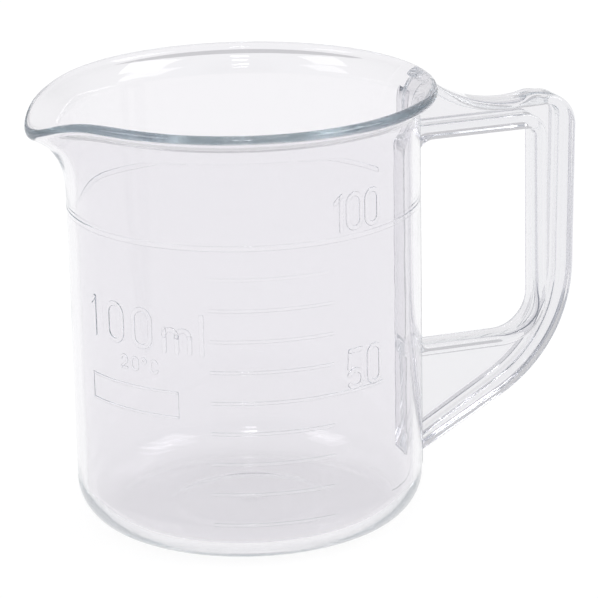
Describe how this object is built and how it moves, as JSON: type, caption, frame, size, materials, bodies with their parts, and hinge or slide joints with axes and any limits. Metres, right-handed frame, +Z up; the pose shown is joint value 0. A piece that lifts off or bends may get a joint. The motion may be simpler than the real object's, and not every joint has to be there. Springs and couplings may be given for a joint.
{
  "type": "handled beaker",
  "caption": "Clear plastic laboratory beaker with a flared rim, a pouring spout, raised fill marks and an I-beam side handle.",
  "frame": {"origin": "centre of the underside of the cup, on the plane it rests on", "axes": "+Z up along the cup's axis, +X towards the handle, -X towards the pouring spout"},
  "size_m": [0.0885, 0.06, 0.068],
  "materials": {
    "clear_plastic": "gloss"
  },
  "bodies": {
    "root": {"floor": "clear_plastic", "base_corner": "clear_plastic", "side_wall": "clear_plastic", "rim": "clear_plastic", "spout": "clear_plastic", "handle_pad": "clear_plastic", "handle_root_rib": "clear_plastic", "handle_outer_rail": "clear_plastic", "handle_inner_rail": "clear_plastic", "handle_web": "clear_plastic", "ring_line_100": "clear_plastic", "graduation_10": "clear_plastic", "graduation_20": "clear_plastic", "graduation_30": "clear_plastic", "graduation_40": "clear_plastic", "graduation_50": "clear_plastic", "graduation_60": "clear_plastic", "graduation_70": "clear_plastic", "graduation_80": "clear_plastic", "graduation_90": "clear_plastic", "numeral_100": "clear_plastic", "numeral_50": "clear_plastic", "capacity_mark": "clear_plastic", "calibration_mark": "clear_plastic", "blank_label": "clear_plastic"}
  },
  "joints": []
}
